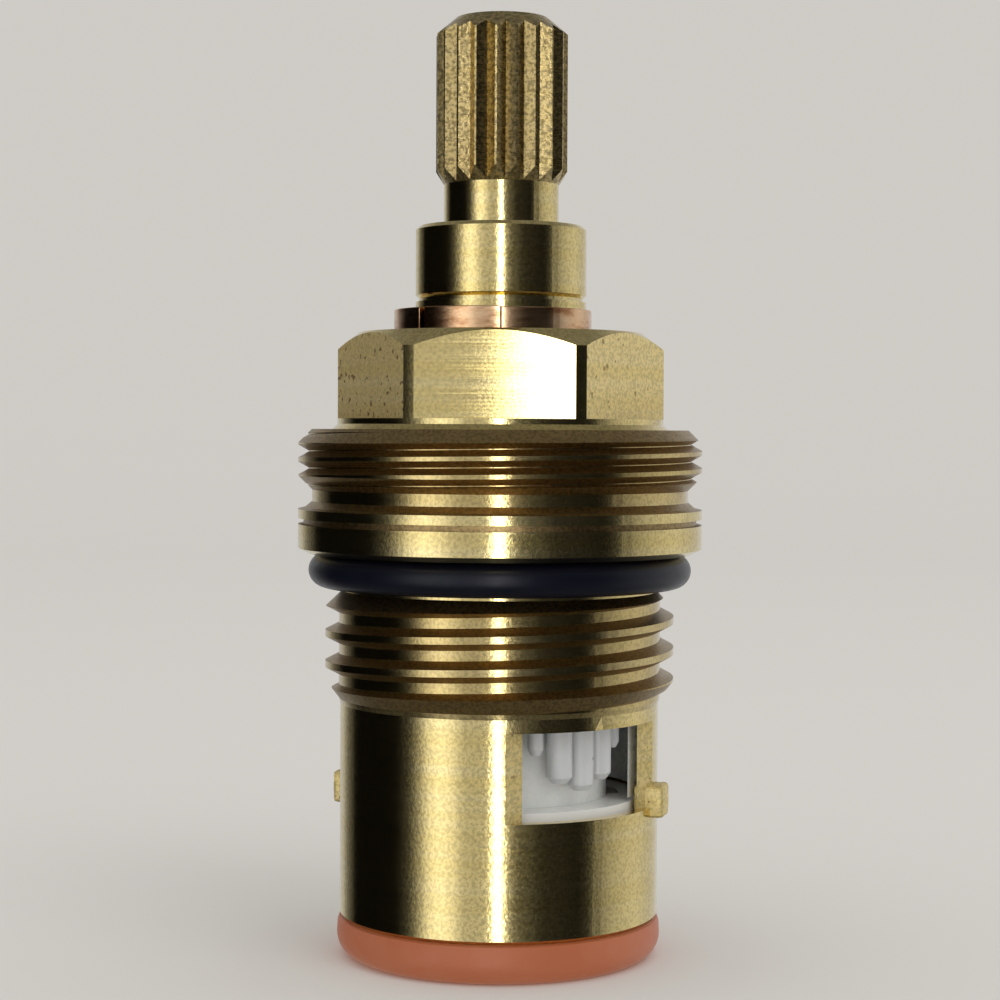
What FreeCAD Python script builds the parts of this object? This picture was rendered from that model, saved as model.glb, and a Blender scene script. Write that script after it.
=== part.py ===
import FreeCAD, Part
import os
import re
import Sketcher

# A quarter-turn ceramic disc cartridge for a basin or kitchen tap.
# A turned brass housing holds a splined brass stem. The stem turns a plastic coupling,
# which turns the upper ceramic disc on the lower one. Water comes in through the ring
# seal at the foot and goes out through two flat-milled windows in the barrel.
# The frame: +Z along the stem towards the spline, the origin at the centre of the seal's
# foot, and the windows facing -Y and +Y. All sizes are millimetres and degrees.

SIZES = {
    # Stack of loose parts inside the barrel, from the foot up
    "seal_lip_height": 2.35,
    "seal_neck_height": 1.95,
    "fixed_disc_height": 2.5,
    "moving_disc_height": 2.7,
    "coupling_height": 5.05,
    "silencer_plate": 0.75,
    "stem_flange_height": 2.1,
    "slip_washer_height": 0.6,
    # Housing, outside
    "chamber_radius": 8.8,
    "barrel_wall": 0.61,
    "foot_chamfer": 0.2,
    "barrel_length": 12.55,
    "thread_root_step": 0.09,
    "pipe_thread_pitch": 1.814,
    "pipe_thread_flank": 27.5,
    "pipe_thread_depth_share": 0.441,
    "pipe_thread_crest_share": 0.22,
    "pipe_thread_length": 6.6,
    "pipe_thread_phase": 0.62,
    "thread_relief": 0.3,
    "thread_lead_slope": 1.3,
    "thread_exit_slope": 1.2,
    "groove_overcut": 0.3,
    "neck_step": 0.11,
    "neck_length": 2.22,
    "flange_step": 2.3,
    "ring_height": 1.7,
    "ring_chamfer": 0.55,
    "ring_chamfer_rise": 0.3,
    "ring_groove_depth": 0.32,
    "ring_groove_width": 0.34,
    "rib_height": 0.54,
    "undercut_depth": 0.82,
    "undercut_width": 1.95,
    "undercut_lip": 0.1,
    "undercut_fall": 0.45,
    "cover_thread_pitch": 1.0,
    "cover_thread_flank": 30.0,
    "cover_thread_depth_share": 0.62,
    "cover_thread_crest_share": 0.24,
    "cover_thread_length": 2.73,
    "cover_thread_phase": 0.02,
    "flange_chamfer": 0.8,
    "hex_corner_radius": 9.62,
    "hex_flats": 17.0,
    "hex_turn": 21.0,
    "hex_base_height": 0.62,
    "hex_height": 5.05,
    "hex_top_step": 1.27,
    "hex_chamfer_height": 0.97,
    "hex_foot_chamfer": 0.3,
    "bore_chamfer": 0.3,
    # Windows, stops and keys
    "window_bite": 1.05,
    "window_height": 5.04,
    "window_drop": 0.4,
    "stop_clearance": 0.2,
    "stop_width": 2.6,
    "key_height": 0.5,
    "key_width": 1.5,
    # Stem
    "stem_radius": 5.04,
    "stem_run": 0.06,
    "collar_height": 4.25,
    "collar_chamfer": 0.22,
    "clip_groove_depth": 0.74,
    "clip_land": 0.42,
    "clip_land_groove": 0.2,
    "spline_neck_step": 0.495,
    "spline_neck_length": 2.45,
    "spline_radius": 3.88,
    "spline_depth": 0.45,
    "spline_length": 9.75,
    "spline_teeth": 20,
    "spline_turn": -6.0,
    "spline_crest": 0.12,
    "tooth_gap_reach": 1.5,
    "spline_foot_chamfer": 0.8,
    "spline_top_chamfer": 0.97,
    "spline_top_step": 1.16,
    "screw_hole_radius": 1.65,
    "screw_hole_depth": 9.0,
    "screw_drill_tip": 0.95,
    "screw_hole_lead": 0.35,
    "stem_flange_reach": 1.96,
    "wing_gap": 0.6,
    "wing_angle": 69.0,
    "wing_play": 0.15,
    "tongue_width": 7.0,
    "tongue_thickness": 3.0,
    "tongue_length": 3.6,
    "tongue_root": 1.0,
    "oring_groove_width": 2.3,
    "oring_lower_rise": 7.6,
    "oring_spacing": 5.0,
    # Small parts
    "clip_height": 1.3,
    "clip_stand": 0.31,
    "clip_lug_stand": 1.26,
    "clip_lug_hole_stand": 0.41,
    "clip_lug_angle": 46.0,
    "clip_lug_hole": 0.45,
    "clip_gap_width": 0.4,
    "clip_turn": -172.8,
    "stem_oring_section": 1.8,
    "flange_oring_section": 2.0,
    "oring_sides": 8,
    "fit_gap": 0.05,
    "seat_gap": 0.02,
    "cutter_run": 1.0,
    "port_margin": 0.1,
    "disc_hub_radius": 2.6,
    "port_angle": 82.0,
    "moving_disc_gap": 0.5,
    "peg_radius": 0.9,
    "peg_height": 1.0,
    "peg_root": 1.0,
    "peg_inset": 1.2,
    "coupling_clearance": 0.21,
    "coupling_hub_radius": 3.4,
    "coupling_gap": 0.15,
    "coupling_opening": 90.0,
    "comb_inset": 1.45,
    "comb_rib_radius": 0.74,
    "comb_rib_angle": 11.5,
    "comb_long": 4.05,
    "comb_middle": 3.55,
    "comb_short": 1.9,
    "comb_short_radius": 0.45,
    "comb_tip": 0.35,
    "comb_tip_share": 0.6,
    "comb_turn": 2.5,
    "silencer_plate_inset": 1.75,
    "seal_bulge": 0.16,
    "seal_top_step": 0.21,
    "seal_foot_step": 0.61,
    "seal_bulge_height": 0.85,
    "seal_corner_share": 0.3,
    "seal_corner_height_share": 0.4,
    "seal_neck_wall": 1.8,
    "seal_hole_chamfer": 0.3,
    "support_ring_wall": 0.8,
    "support_ring_lift": 0.6,
}

# Levels along the axis, each from the sizes that set it
HOUSING_FOOT = "seal_lip_height"
FIXED_DISC_FOOT = HOUSING_FOOT + " + seal_neck_height"
MOVING_DISC_FOOT = FIXED_DISC_FOOT + " + fixed_disc_height"
COUPLING_FOOT = MOVING_DISC_FOOT + " + moving_disc_height"
SILENCER_FOOT = COUPLING_FOOT + " + coupling_height"
STEM_FOOT = SILENCER_FOOT + " + silencer_plate"
WASHER_FOOT = STEM_FOOT + " + stem_flange_height"
SHOULDER = WASHER_FOOT + " + slip_washer_height"
WINDOW_SILL = COUPLING_FOOT + " - window_drop"
THREAD_FOOT = HOUSING_FOOT + " + barrel_length"
THREAD_TOP = THREAD_FOOT + " + pipe_thread_length"
RING_FOOT = THREAD_TOP + " + neck_length"
RING_TOP = RING_FOOT + " + ring_height"
RIB_FOOT = RING_TOP + " + ring_groove_width"
RIB_TOP = RIB_FOOT + " + rib_height"
UNDERCUT_TOP = RIB_TOP + " + undercut_width"
FLANGE_TOP = UNDERCUT_TOP + " + cover_thread_length"
HEX_FOOT = FLANGE_TOP + " + hex_base_height"
HEX_TOP = HEX_FOOT + " + hex_height"
CLIP_FOOT = HEX_TOP + " + fit_gap"
CLIP_TOP = CLIP_FOOT + " + clip_height"
COLLAR_FOOT = CLIP_TOP + " + fit_gap + clip_land"
COLLAR_TOP = COLLAR_FOOT + " + clip_land_groove + collar_height"
SPLINE_FOOT = COLLAR_TOP + " + spline_neck_length"
SPLINE_TOP = SPLINE_FOOT + " + spline_length"

# Radii that follow from another size and a named step or clearance
BORE_RADIUS = "stem_radius + stem_run"
BARREL_RADIUS = "(chamber_radius + barrel_wall)"
WALL_MIDDLE = "(chamber_radius + barrel_wall / 2)"
PIPE_ROOT = f"({BARREL_RADIUS} + thread_root_step)"
PIPE_DEPTH = "pipe_thread_pitch * pipe_thread_depth_share"
PIPE_RADIUS = f"({PIPE_ROOT} + {PIPE_DEPTH})"
NECK_RADIUS = f"({BARREL_RADIUS} - neck_step)"
FLANGE_RADIUS = "(hex_corner_radius + flange_step)"
COVER_ROOT = f"({FLANGE_RADIUS} - cover_thread_pitch * cover_thread_depth_share)"
WINDOW_FLAT = "(chamber_radius - window_bite)"
KEY_INNER_RADIUS = "(chamber_radius - key_height)"
STEM_FLANGE_RADIUS = "(stem_radius + stem_flange_reach)"
STOP_INNER_RADIUS = f"({STEM_FLANGE_RADIUS} + stop_clearance)"
CLIP_GROOVE_RADIUS = "(stem_radius - clip_groove_depth)"
CLIP_LUG_RADIUS = "(stem_radius + clip_lug_stand)"
SPLINE_ROOT = "(spline_radius - spline_depth)"
SEAL_HOLE_RADIUS = "(chamber_radius - seal_neck_wall)"
SEAL_RADIUS = f"({BARREL_RADIUS} + seal_bulge)"
PORT_RADIUS = f"({SEAL_HOLE_RADIUS} + port_margin)"
COMB_RADIUS = "(chamber_radius - comb_inset)"
COUPLING_RADIUS = f"({COMB_RADIUS} - comb_rib_radius - coupling_clearance)"
PEG_REACH = f"({COUPLING_RADIUS} - peg_inset)"

doc = FreeCAD.newDocument("ceramic_cartridge")
sheet = doc.addObject("Spreadsheet::Sheet", "Sizes")
for row, (name, size) in enumerate(SIZES.items(), start=1):
    sheet.set(f"A{row}", name)
    sheet.set(f"B{row}", str(size))
    sheet.setAlias(f"B{row}", name)
doc.recompute()


def formula(text):
    """The text as a document expression, with each size read from the sheet."""
    def from_sheet(word):
        return "Sizes." + word.group(0) if word.group(0) in SIZES else word.group(0)

    return re.sub(r"[a-z_]+", from_sheet, text)


def number(text):
    """The present value of a formula, for a sketch's first guess."""
    return float(sheet.evalExpression(formula(text)))


def bind(thing, **formulas):
    """Ties properties of an object to formulas. A double underscore stands for a dot."""
    for name, text in formulas.items():
        thing.setExpression(name.replace("__", "."), formula(text))


# Sketch helpers
def new_body(name):
    body = doc.addObject("PartDesign::Body", name)
    body.Label = name
    return body


def new_sketch(body, name, plane, height=None):
    """A sketch on one of the body's own planes, raised to a height where one is given."""
    sketch = body.newObject("Sketcher::SketchObject", name)
    planes = [feature for feature in body.Origin.OriginFeatures if feature.Role == plane]
    sketch.AttachmentSupport = [(planes[0], "")]
    sketch.MapMode = "FlatFace"
    if height is not None:
        bind(sketch, AttachmentOffset__Base__z=height)
    return sketch


def pin_point(sketch, line, corner, x, y):
    """Holds a line's start point at the place that two formulas give."""
    for kind, axis, text in (("DistanceX", -2, x), ("DistanceY", -1, y)):
        if text == "0":
            sketch.addConstraint(Sketcher.Constraint("PointOnObject", line, corner, axis))
            continue
        row = sketch.addConstraint(Sketcher.Constraint(kind, -1, 1, line, corner, number(text)))
        sketch.setExpression(f"Constraints[{row}]", formula(text))


def polygon(sketch, corners):
    """A closed outline of straight lines through corners, each a pair of formulas."""
    places = [FreeCAD.Vector(number(x), number(y), 0) for x, y in corners]
    first = sketch.GeometryCount
    for index, place in enumerate(places):
        sketch.addGeometry(Part.LineSegment(place, places[(index + 1) % len(places)]))
    for index, (x, y) in enumerate(corners):
        following = first + (index + 1) % len(corners)
        sketch.addConstraint(Sketcher.Constraint("Coincident", first + index, 2, following, 1))
        pin_point(sketch, first + index, 1, x, y)


def circle(sketch, radius):
    """A circle about the sketch's origin."""
    row = sketch.addGeometry(Part.Circle(FreeCAD.Vector(), FreeCAD.Vector(0, 0, 1), number(radius)))
    sketch.addConstraint(Sketcher.Constraint("Coincident", row, 3, -1, 1))
    size = sketch.addConstraint(Sketcher.Constraint("Radius", row, number(radius)))
    sketch.setExpression(f"Constraints[{size}]", formula(radius))


def turned(body, name, corners):
    """Turns a section, given as radius and height, about the body's Z axis."""
    sketch = new_sketch(body, name + "_section", "XZ_Plane")
    polygon(sketch, corners)
    turning = body.newObject("PartDesign::Revolution", name)
    turning.Profile = sketch
    turning.ReferenceAxis = (sketch, ["V_Axis"])
    turning.Angle = 360
    return turning


def pad(body, sketch, name, length):
    """Raises a sketch along +Z."""
    feature = body.newObject("PartDesign::Pad", name)
    feature.Profile = sketch
    bind(feature, Length=length)
    return feature


def pocket(body, sketch, name, length):
    """Cuts a sketch upwards along +Z."""
    feature = body.newObject("PartDesign::Pocket", name)
    feature.Profile = sketch
    feature.Reversed = True
    bind(feature, Length=length)
    return feature


def thread_groove(body, thread, crest, root, foot, top):
    """Cuts one right-hand thread groove, from foot to top, at the sizes named after the thread."""
    pitch = f"{thread}_pitch"
    flat = f"{pitch} * {thread}_crest_share"
    flank = f"tan({thread}_flank)"
    outside = f"{crest} + {flat} * groove_overcut"
    half_width = f"({pitch} - {flat}) / 2 + {flat} * groove_overcut * {flank}"
    half_root = f"({pitch} - {flat}) / 2 - ({crest} - {root}) * {flank}"
    sketch = new_sketch(body, thread + "_section", "XZ_Plane")
    polygon(sketch, [
        (root, f"{foot} - ({half_root})"),
        (outside, f"{foot} - ({half_width})"),
        (outside, f"{foot} + {half_width}"),
        (root, f"{foot} + {half_root}"),
    ])
    groove = body.newObject("PartDesign::SubtractiveHelix", thread)
    groove.Profile = sketch
    groove.ReferenceAxis = (sketch, ["V_Axis"])
    groove.Mode = 0
    groove.LeftHanded = False
    bind(groove, Pitch=pitch, Height=f"{top} - ({foot})")


# Helpers for loose primitives and booleans
def solid(kind, name, **formulas):
    """A primitive solid whose sizes and place are tied to formulas."""
    thing = doc.addObject("Part::" + kind, name)
    bind(thing, **formulas)
    return thing


def place(thing, x="0", y="0", z="0", turn=None):
    """Ties a primitive's place, and its turn about Z, to formulas."""
    bind(thing, Placement__Base__x=x, Placement__Base__y=y, Placement__Base__z=z)
    if turn is not None:
        bind(thing, Placement__Rotation__Angle=turn)
    return thing


def sector(name, radius, height, angle, middle, foot):
    """A wedge of a cylinder, centred on a direction given in degrees from +X."""
    wedge = solid("Cylinder", name, Radius=radius, Height=height, Angle=angle)
    return place(wedge, z=foot, turn=f"{middle} - ({angle}) / 2")


def fuse(name, things):
    joined = doc.addObject("Part::MultiFuse", name)
    joined.Shapes = things
    return joined


def cut(name, base, tool):
    """Takes one solid, or several as a fused tool, from another."""
    result = doc.addObject("Part::Cut", name)
    result.Base = base
    result.Tool = fuse(name + "_tools", tool) if isinstance(tool, list) else tool
    return result


def ring(name, outer, inner, height, foot):
    """A flat-ended tube about the Z axis."""
    outside = place(solid("Cylinder", name + "_outside", Radius=outer, Height=height), z=foot)
    inside = solid("Cylinder", name + "_inside", Radius=inner, Height=f"{height} + 2 * cutter_run")
    place(inside, z=f"{foot} - cutter_run")
    return cut(name, outside, inside)


def make_housing():
    """The brass housing: barrel, both threads, flange, hexagon, bore, windows, stops and keys."""
    body = new_body("housing")
    foot = HOUSING_FOOT
    turned(body, "turned_body", [
        ("chamber_radius", foot),
        (f"{BARREL_RADIUS} - foot_chamfer", foot),
        (BARREL_RADIUS, f"{foot} + foot_chamfer"),
        (BARREL_RADIUS, THREAD_FOOT),
        (PIPE_ROOT, f"{THREAD_FOOT} + thread_relief"),
        (PIPE_RADIUS, f"{THREAD_FOOT} + thread_relief + {PIPE_DEPTH} * thread_lead_slope"),
        (PIPE_RADIUS, f"{THREAD_TOP} - {PIPE_DEPTH} * thread_exit_slope"),
        (NECK_RADIUS, THREAD_TOP),
        (NECK_RADIUS, RING_FOOT),
        (f"{FLANGE_RADIUS} - ring_chamfer", RING_FOOT),
        (FLANGE_RADIUS, f"{RING_FOOT} + ring_chamfer_rise"),
        (FLANGE_RADIUS, RING_TOP),
        (f"{FLANGE_RADIUS} - ring_groove_depth", RING_TOP),
        (f"{FLANGE_RADIUS} - ring_groove_depth", RIB_FOOT),
        (FLANGE_RADIUS, RIB_FOOT),
        (FLANGE_RADIUS, RIB_TOP),
        (f"{FLANGE_RADIUS} - undercut_depth / 2", f"{RIB_TOP} + undercut_lip"),
        (f"{FLANGE_RADIUS} - undercut_depth", f"{RIB_TOP} + undercut_fall"),
        (f"{FLANGE_RADIUS} - undercut_depth", f"{UNDERCUT_TOP} - undercut_depth"),
        (FLANGE_RADIUS, UNDERCUT_TOP),
        (FLANGE_RADIUS, f"{FLANGE_TOP} - flange_chamfer"),
        (f"{FLANGE_RADIUS} - flange_chamfer", FLANGE_TOP),
        ("hex_corner_radius + hex_foot_chamfer", FLANGE_TOP),
        ("hex_corner_radius", f"{FLANGE_TOP} + hex_foot_chamfer"),
        ("hex_corner_radius", f"{HEX_TOP} - hex_chamfer_height"),
        ("hex_corner_radius - hex_top_step", HEX_TOP),
        (f"{BORE_RADIUS} + bore_chamfer", HEX_TOP),
        (BORE_RADIUS, f"{HEX_TOP} - bore_chamfer"),
        (BORE_RADIUS, SHOULDER),
        ("chamber_radius", SHOULDER),
    ])

    # The hexagon is milled on the round head and leaves a low round base
    hexagon = new_sketch(body, "hexagon_section", "XY_Plane", HEX_FOOT)
    corner = "hex_flats / 2 / cos(30)"
    turns = [f"hex_turn + {60 * index}" for index in range(6)]
    polygon(hexagon, [(f"{corner} * cos({turn})", f"{corner} * sin({turn})") for turn in turns])
    circle(hexagon, "hex_corner_radius + cutter_run")
    pocket(body, hexagon, "hexagon", "hex_height + cutter_run")

    # A flat cut on each side of the barrel opens its thin wall as a window
    windows = new_sketch(body, "window_section", "XY_Plane", WINDOW_SILL)
    outside = f"{BARREL_RADIUS} + cutter_run"
    for side in ("", "-"):
        polygon(windows, [
            (f"-({outside})", f"{side}{WINDOW_FLAT}"),
            (outside, f"{side}{WINDOW_FLAT}"),
            (outside, f"{side}({outside})"),
            (f"-({outside})", f"{side}({outside})"),
        ])
    pocket(body, windows, "windows", "window_height")

    # Stops limit the stem's wings, and keys hold the lower disc
    stops = new_sketch(body, "stop_section", "XY_Plane", STEM_FOOT)
    keys = new_sketch(body, "key_section", "XY_Plane", FIXED_DISC_FOOT)
    for side in ("", "-"):
        polygon(stops, [
            ("-stop_width / 2", f"{side}{STOP_INNER_RADIUS}"),
            ("stop_width / 2", f"{side}{STOP_INNER_RADIUS}"),
            ("stop_width / 2", f"{side}{WALL_MIDDLE}"),
            ("-stop_width / 2", f"{side}{WALL_MIDDLE}"),
        ])
        polygon(keys, [
            (f"{side}{KEY_INNER_RADIUS}", "-key_width / 2"),
            (f"{side}{WALL_MIDDLE}", "-key_width / 2"),
            (f"{side}{WALL_MIDDLE}", "key_width / 2"),
            (f"{side}{KEY_INNER_RADIUS}", "key_width / 2"),
        ])
    pad(body, stops, "stops", f"{SHOULDER} - ({STEM_FOOT})")
    pad(body, keys, "keys", "fixed_disc_height")

    thread_groove(
        body, "pipe_thread", PIPE_RADIUS, PIPE_ROOT,
        f"{THREAD_FOOT} - pipe_thread_pitch + pipe_thread_phase", f"{THREAD_TOP} + pipe_thread_pitch / 2",
    )
    thread_groove(
        body, "cover_thread", FLANGE_RADIUS, COVER_ROOT,
        f"{UNDERCUT_TOP} - cover_thread_pitch + cover_thread_phase", f"{FLANGE_TOP} + cover_thread_pitch / 2",
    )
    return body


def rubber_ring(name, middle, section, height):
    """A rubber ring about the Z axis, with a many-sided section drawn round the real circle."""
    body = new_body(name)
    step = 360 / SIZES["oring_sides"]
    turns = [step * (side + 0.5) for side in range(SIZES["oring_sides"])]
    corner = f"({section}) / cos({step / 2})"
    turned(body, name + "_turning", [
        (f"{middle} + {corner} * cos({turn})", f"{height} + {corner} * sin({turn})") for turn in turns
    ])
    return body


def make_flange_oring():
    """The rubber ring on the neck, pressed up under the flange."""
    section = "flange_oring_section / 2"
    return rubber_ring("flange_o_ring", f"{NECK_RADIUS} + {section}", section, f"{RING_FOOT} - {section}")


def make_bottom_seal():
    """The lipped silicone seal, with a neck that plugs into the foot of the barrel."""
    body = new_body("bottom_seal")
    turned(body, "seal", [
        (SEAL_HOLE_RADIUS, "seal_hole_chamfer"),
        (f"{SEAL_HOLE_RADIUS} + seal_hole_chamfer", "0"),
        (f"{BARREL_RADIUS} - seal_foot_step", "0"),
        (
            f"{SEAL_RADIUS} - (seal_bulge + seal_foot_step) * seal_corner_share",
            "seal_bulge_height * seal_corner_height_share",
        ),
        (SEAL_RADIUS, "seal_bulge_height"),
        (
            f"{SEAL_RADIUS} - (seal_bulge + seal_top_step) * seal_corner_share",
            "(seal_bulge_height + seal_lip_height) / 2",
        ),
        (f"{BARREL_RADIUS} - seal_top_step", HOUSING_FOOT),
        ("chamber_radius", HOUSING_FOOT),
        ("chamber_radius", FIXED_DISC_FOOT),
        (SEAL_HOLE_RADIUS, FIXED_DISC_FOOT),
    ])
    return body


def make_support_ring():
    """The stiff ring that holds the seal open from inside."""
    height = f"{FIXED_DISC_FOOT} - support_ring_lift"
    inner = f"{SEAL_HOLE_RADIUS} - support_ring_wall"
    return ring("seal_support_ring", SEAL_HOLE_RADIUS, inner, height, "support_ring_lift")


def port(name, middle, height, foot):
    """The shape of one water port, as a wedge outside the disc's hub."""
    depth = f"{height} + 2 * cutter_run"
    wedge = sector(name + "_wedge", PORT_RADIUS, depth, "port_angle", middle, f"{foot} - cutter_run")
    hub = solid("Cylinder", name + "_hub", Radius="disc_hub_radius", Height=f"{height} + 4 * cutter_run")
    return cut(name, wedge, place(hub, z=f"{foot} - 2 * cutter_run"))


def make_fixed_disc():
    """The lower ceramic disc: ports towards the windows, and notches for the housing's keys."""
    foot = FIXED_DISC_FOOT
    radius = "chamber_radius - fit_gap"
    blank = solid("Cylinder", "fixed_disc_blank", Radius=radius, Height="fixed_disc_height")
    place(blank, z=foot)
    tools = [
        port("fixed_port_front", "-90", "fixed_disc_height", foot),
        port("fixed_port_back", "90", "fixed_disc_height", foot),
    ]
    width = "key_width + 2 * fit_gap"
    depth = "barrel_wall + key_height + fit_gap"
    notch_height = "fixed_disc_height + 2 * cutter_run"
    for name, inner_face in (("right", f"{KEY_INNER_RADIUS} - fit_gap"), ("left", f"-{BARREL_RADIUS}")):
        notch = solid("Box", f"key_notch_{name}", Length=depth, Width=width, Height=notch_height)
        tools.append(place(notch, x=inner_face, y=f"-({width}) / 2", z=f"{foot} - cutter_run"))
    return cut("fixed_disc", blank, tools)


def make_silencer():
    """The clear plastic ring with rounded fingers that hang down across each window."""
    foot = SILENCER_FOOT
    inner = f"{COMB_RADIUS} - silencer_plate_inset"
    things = [ring("silencer_plate_ring", "chamber_radius - fit_gap", inner, "silencer_plate", foot)]
    fingers = [
        ("0", "comb_long", "comb_rib_radius"),
        ("comb_rib_angle", "comb_middle", "comb_rib_radius"),
        ("-comb_rib_angle", "comb_middle", "comb_rib_radius"),
        ("comb_rib_angle * 2", "comb_short", "comb_short_radius"),
        ("-comb_rib_angle * 2", "comb_short", "comb_short_radius"),
    ]
    for side, window in (("front", "-90"), ("back", "90")):
        for index, (spread, length, radius) in enumerate(fingers):
            turn = f"{window} + comb_turn + {spread}"
            x = f"{COMB_RADIUS} * cos({turn})"
            y = f"{COMB_RADIUS} * sin({turn})"
            tip = f"{foot} - {length} + comb_tip"
            name = f"finger_{side}_{index}"
            rod = solid("Cylinder", name, Radius=radius, Height=f"{length} - comb_tip + silencer_plate / 2")
            tip_radius = f"{radius} * comb_tip_share"
            end = solid("Cone", name + "_tip", Radius1=tip_radius, Radius2=radius, Height="comb_tip")
            things += [place(rod, x=x, y=y, z=tip), place(end, x=x, y=y, z=f"{foot} - {length}")]
    return fuse("silencer", things)


def make_slip_washer():
    """The slippery washer between the stem's flange and the shoulder in the housing."""
    height = f"{SHOULDER} - ({WASHER_FOOT}) - seat_gap"
    return ring("slip_washer", STEM_FLANGE_RADIUS, BORE_RADIUS, height, f"{WASHER_FOOT} + seat_gap")


def make_stem():
    """The brass stem: tongue, flange with stop wings, ring grooves, collar, spline and screw hole."""
    body = new_body("stem_turning")
    ring_floor = "stem_radius - stem_oring_section"
    corners = [
        ("0", f"{STEM_FOOT} + seat_gap"),
        (STEM_FLANGE_RADIUS, f"{STEM_FOOT} + seat_gap"),
        (STEM_FLANGE_RADIUS, WASHER_FOOT),
        ("stem_radius", WASHER_FOOT),
    ]
    for rise in ("0", "oring_spacing"):
        groove_foot = f"{STEM_FOOT} + oring_lower_rise + {rise}"
        corners += [
            ("stem_radius", groove_foot),
            (ring_floor, groove_foot),
            (ring_floor, f"{groove_foot} + oring_groove_width"),
            ("stem_radius", f"{groove_foot} + oring_groove_width"),
        ]
    corners += [
        ("stem_radius", CLIP_FOOT),
        (CLIP_GROOVE_RADIUS, CLIP_FOOT),
        (CLIP_GROOVE_RADIUS, CLIP_TOP),
        ("stem_radius", CLIP_TOP),
        ("stem_radius", COLLAR_FOOT),
        ("stem_radius - clip_land_groove", COLLAR_FOOT),
        ("stem_radius - clip_land_groove", f"{COLLAR_FOOT} + clip_land_groove"),
        ("stem_radius", f"{COLLAR_FOOT} + clip_land_groove * 2"),
        ("stem_radius", f"{COLLAR_TOP} - collar_chamfer"),
        ("stem_radius - collar_chamfer", COLLAR_TOP),
        ("spline_radius - spline_neck_step", COLLAR_TOP),
        ("spline_radius - spline_neck_step", SPLINE_FOOT),
        ("spline_radius", f"{SPLINE_FOOT} + spline_foot_chamfer"),
        ("spline_radius", f"{SPLINE_TOP} - spline_top_chamfer"),
        ("spline_radius - spline_top_step", SPLINE_TOP),
        ("screw_hole_radius + screw_hole_lead", SPLINE_TOP),
        ("screw_hole_radius", f"{SPLINE_TOP} - screw_hole_lead"),
        ("screw_hole_radius", f"{SPLINE_TOP} - screw_hole_depth"),
        ("0", f"{SPLINE_TOP} - screw_hole_depth - screw_drill_tip"),
    ]
    turned(body, "stem_blank", corners)

    # One V groove between two teeth, carried on past the crests and then round the axis
    notch = new_sketch(body, "tooth_gap_section", "XY_Plane", SPLINE_FOOT)
    bind(notch, AttachmentOffset__Rotation__Angle="spline_turn + 180 / spline_teeth")
    half_gap = "(180 / spline_teeth - spline_crest / 2 / spline_radius * 180 / pi)"
    outer_x = f"{SPLINE_ROOT} + (spline_radius * cos({half_gap}) - {SPLINE_ROOT}) * tooth_gap_reach"
    outer_y = f"spline_radius * sin({half_gap}) * tooth_gap_reach"
    polygon(notch, [(SPLINE_ROOT, "0"), (outer_x, f"-{outer_y}"), (outer_x, outer_y)])
    gap = pocket(body, notch, "tooth_gap", "spline_length + cutter_run")
    doc.recompute()
    teeth = body.newObject("PartDesign::PolarPattern", "teeth")
    teeth.Originals = [gap]
    teeth.Axis = (notch, ["N_Axis"])
    teeth.Angle = 360
    teeth.Occurrences = SIZES["spline_teeth"]
    body.Tip = teeth

    foot = f"{STEM_FOOT} + seat_gap"
    height = f"{WASHER_FOOT} - ({foot})"
    first_wing = f"-90 + asin(stop_width / 2 / {STOP_INNER_RADIUS}) / 1 deg + wing_angle / 2 + wing_play"
    tongue_height = "tongue_length + tongue_root"
    tongue = solid("Box", "tongue", Length="tongue_thickness", Width="tongue_width", Height=tongue_height)
    return fuse("stem", [
        body,
        sector("wing_front", "chamber_radius - wing_gap", height, "wing_angle", first_wing, foot),
        sector("wing_back", "chamber_radius - wing_gap", height, "wing_angle", f"{first_wing} + 180", foot),
        place(tongue, x="-tongue_thickness / 2", y="-tongue_width / 2", z=f"{STEM_FOOT} - tongue_length"),
    ])


def make_stem_oring(name, rise):
    """A rubber ring that fills its groove in the stem out to the stem's own radius."""
    section = "stem_oring_section / 2"
    height = f"{STEM_FOOT} + oring_lower_rise + {rise} + oring_groove_width / 2"
    return rubber_ring(name, f"stem_radius - {section}", section, height)


def make_circlip():
    """The bronze clip that keeps the stem from being pushed down into the housing."""
    hoop = solid("Cylinder", "clip_hoop", Radius="stem_radius + clip_stand", Height="clip_height")
    place(hoop, z=CLIP_FOOT)
    lugs = sector("clip_lugs", CLIP_LUG_RADIUS, "clip_height", "clip_lug_angle * 2", "clip_turn", CLIP_FOOT)
    depth = "clip_height + 2 * cutter_run"
    foot = f"{CLIP_FOOT} - cutter_run"
    tools = [place(solid("Cylinder", "clip_bore", Radius=CLIP_GROOVE_RADIUS, Height=depth), z=foot)]
    gap = solid("Box", "clip_gap", Length=f"{CLIP_LUG_RADIUS} * 2", Width="clip_gap_width", Height=depth)
    half = "clip_gap_width / 2"
    place(gap, x=f"{half} * sin(clip_turn)", y=f"-{half} * cos(clip_turn)", z=foot, turn="clip_turn")
    tools.append(gap)
    for name, sign in (("left", "-"), ("right", "+")):
        turn = f"clip_turn {sign} clip_lug_angle / 2"
        hole = solid("Cylinder", f"clip_hole_{name}", Radius="clip_lug_hole", Height=depth)
        reach = "(stem_radius + clip_lug_hole_stand)"
        tools.append(place(hole, x=f"{reach} * cos({turn})", y=f"{reach} * sin({turn})", z=foot))
    return cut("circlip", fuse("clip_blank", [hoop, lugs]), tools)


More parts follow.
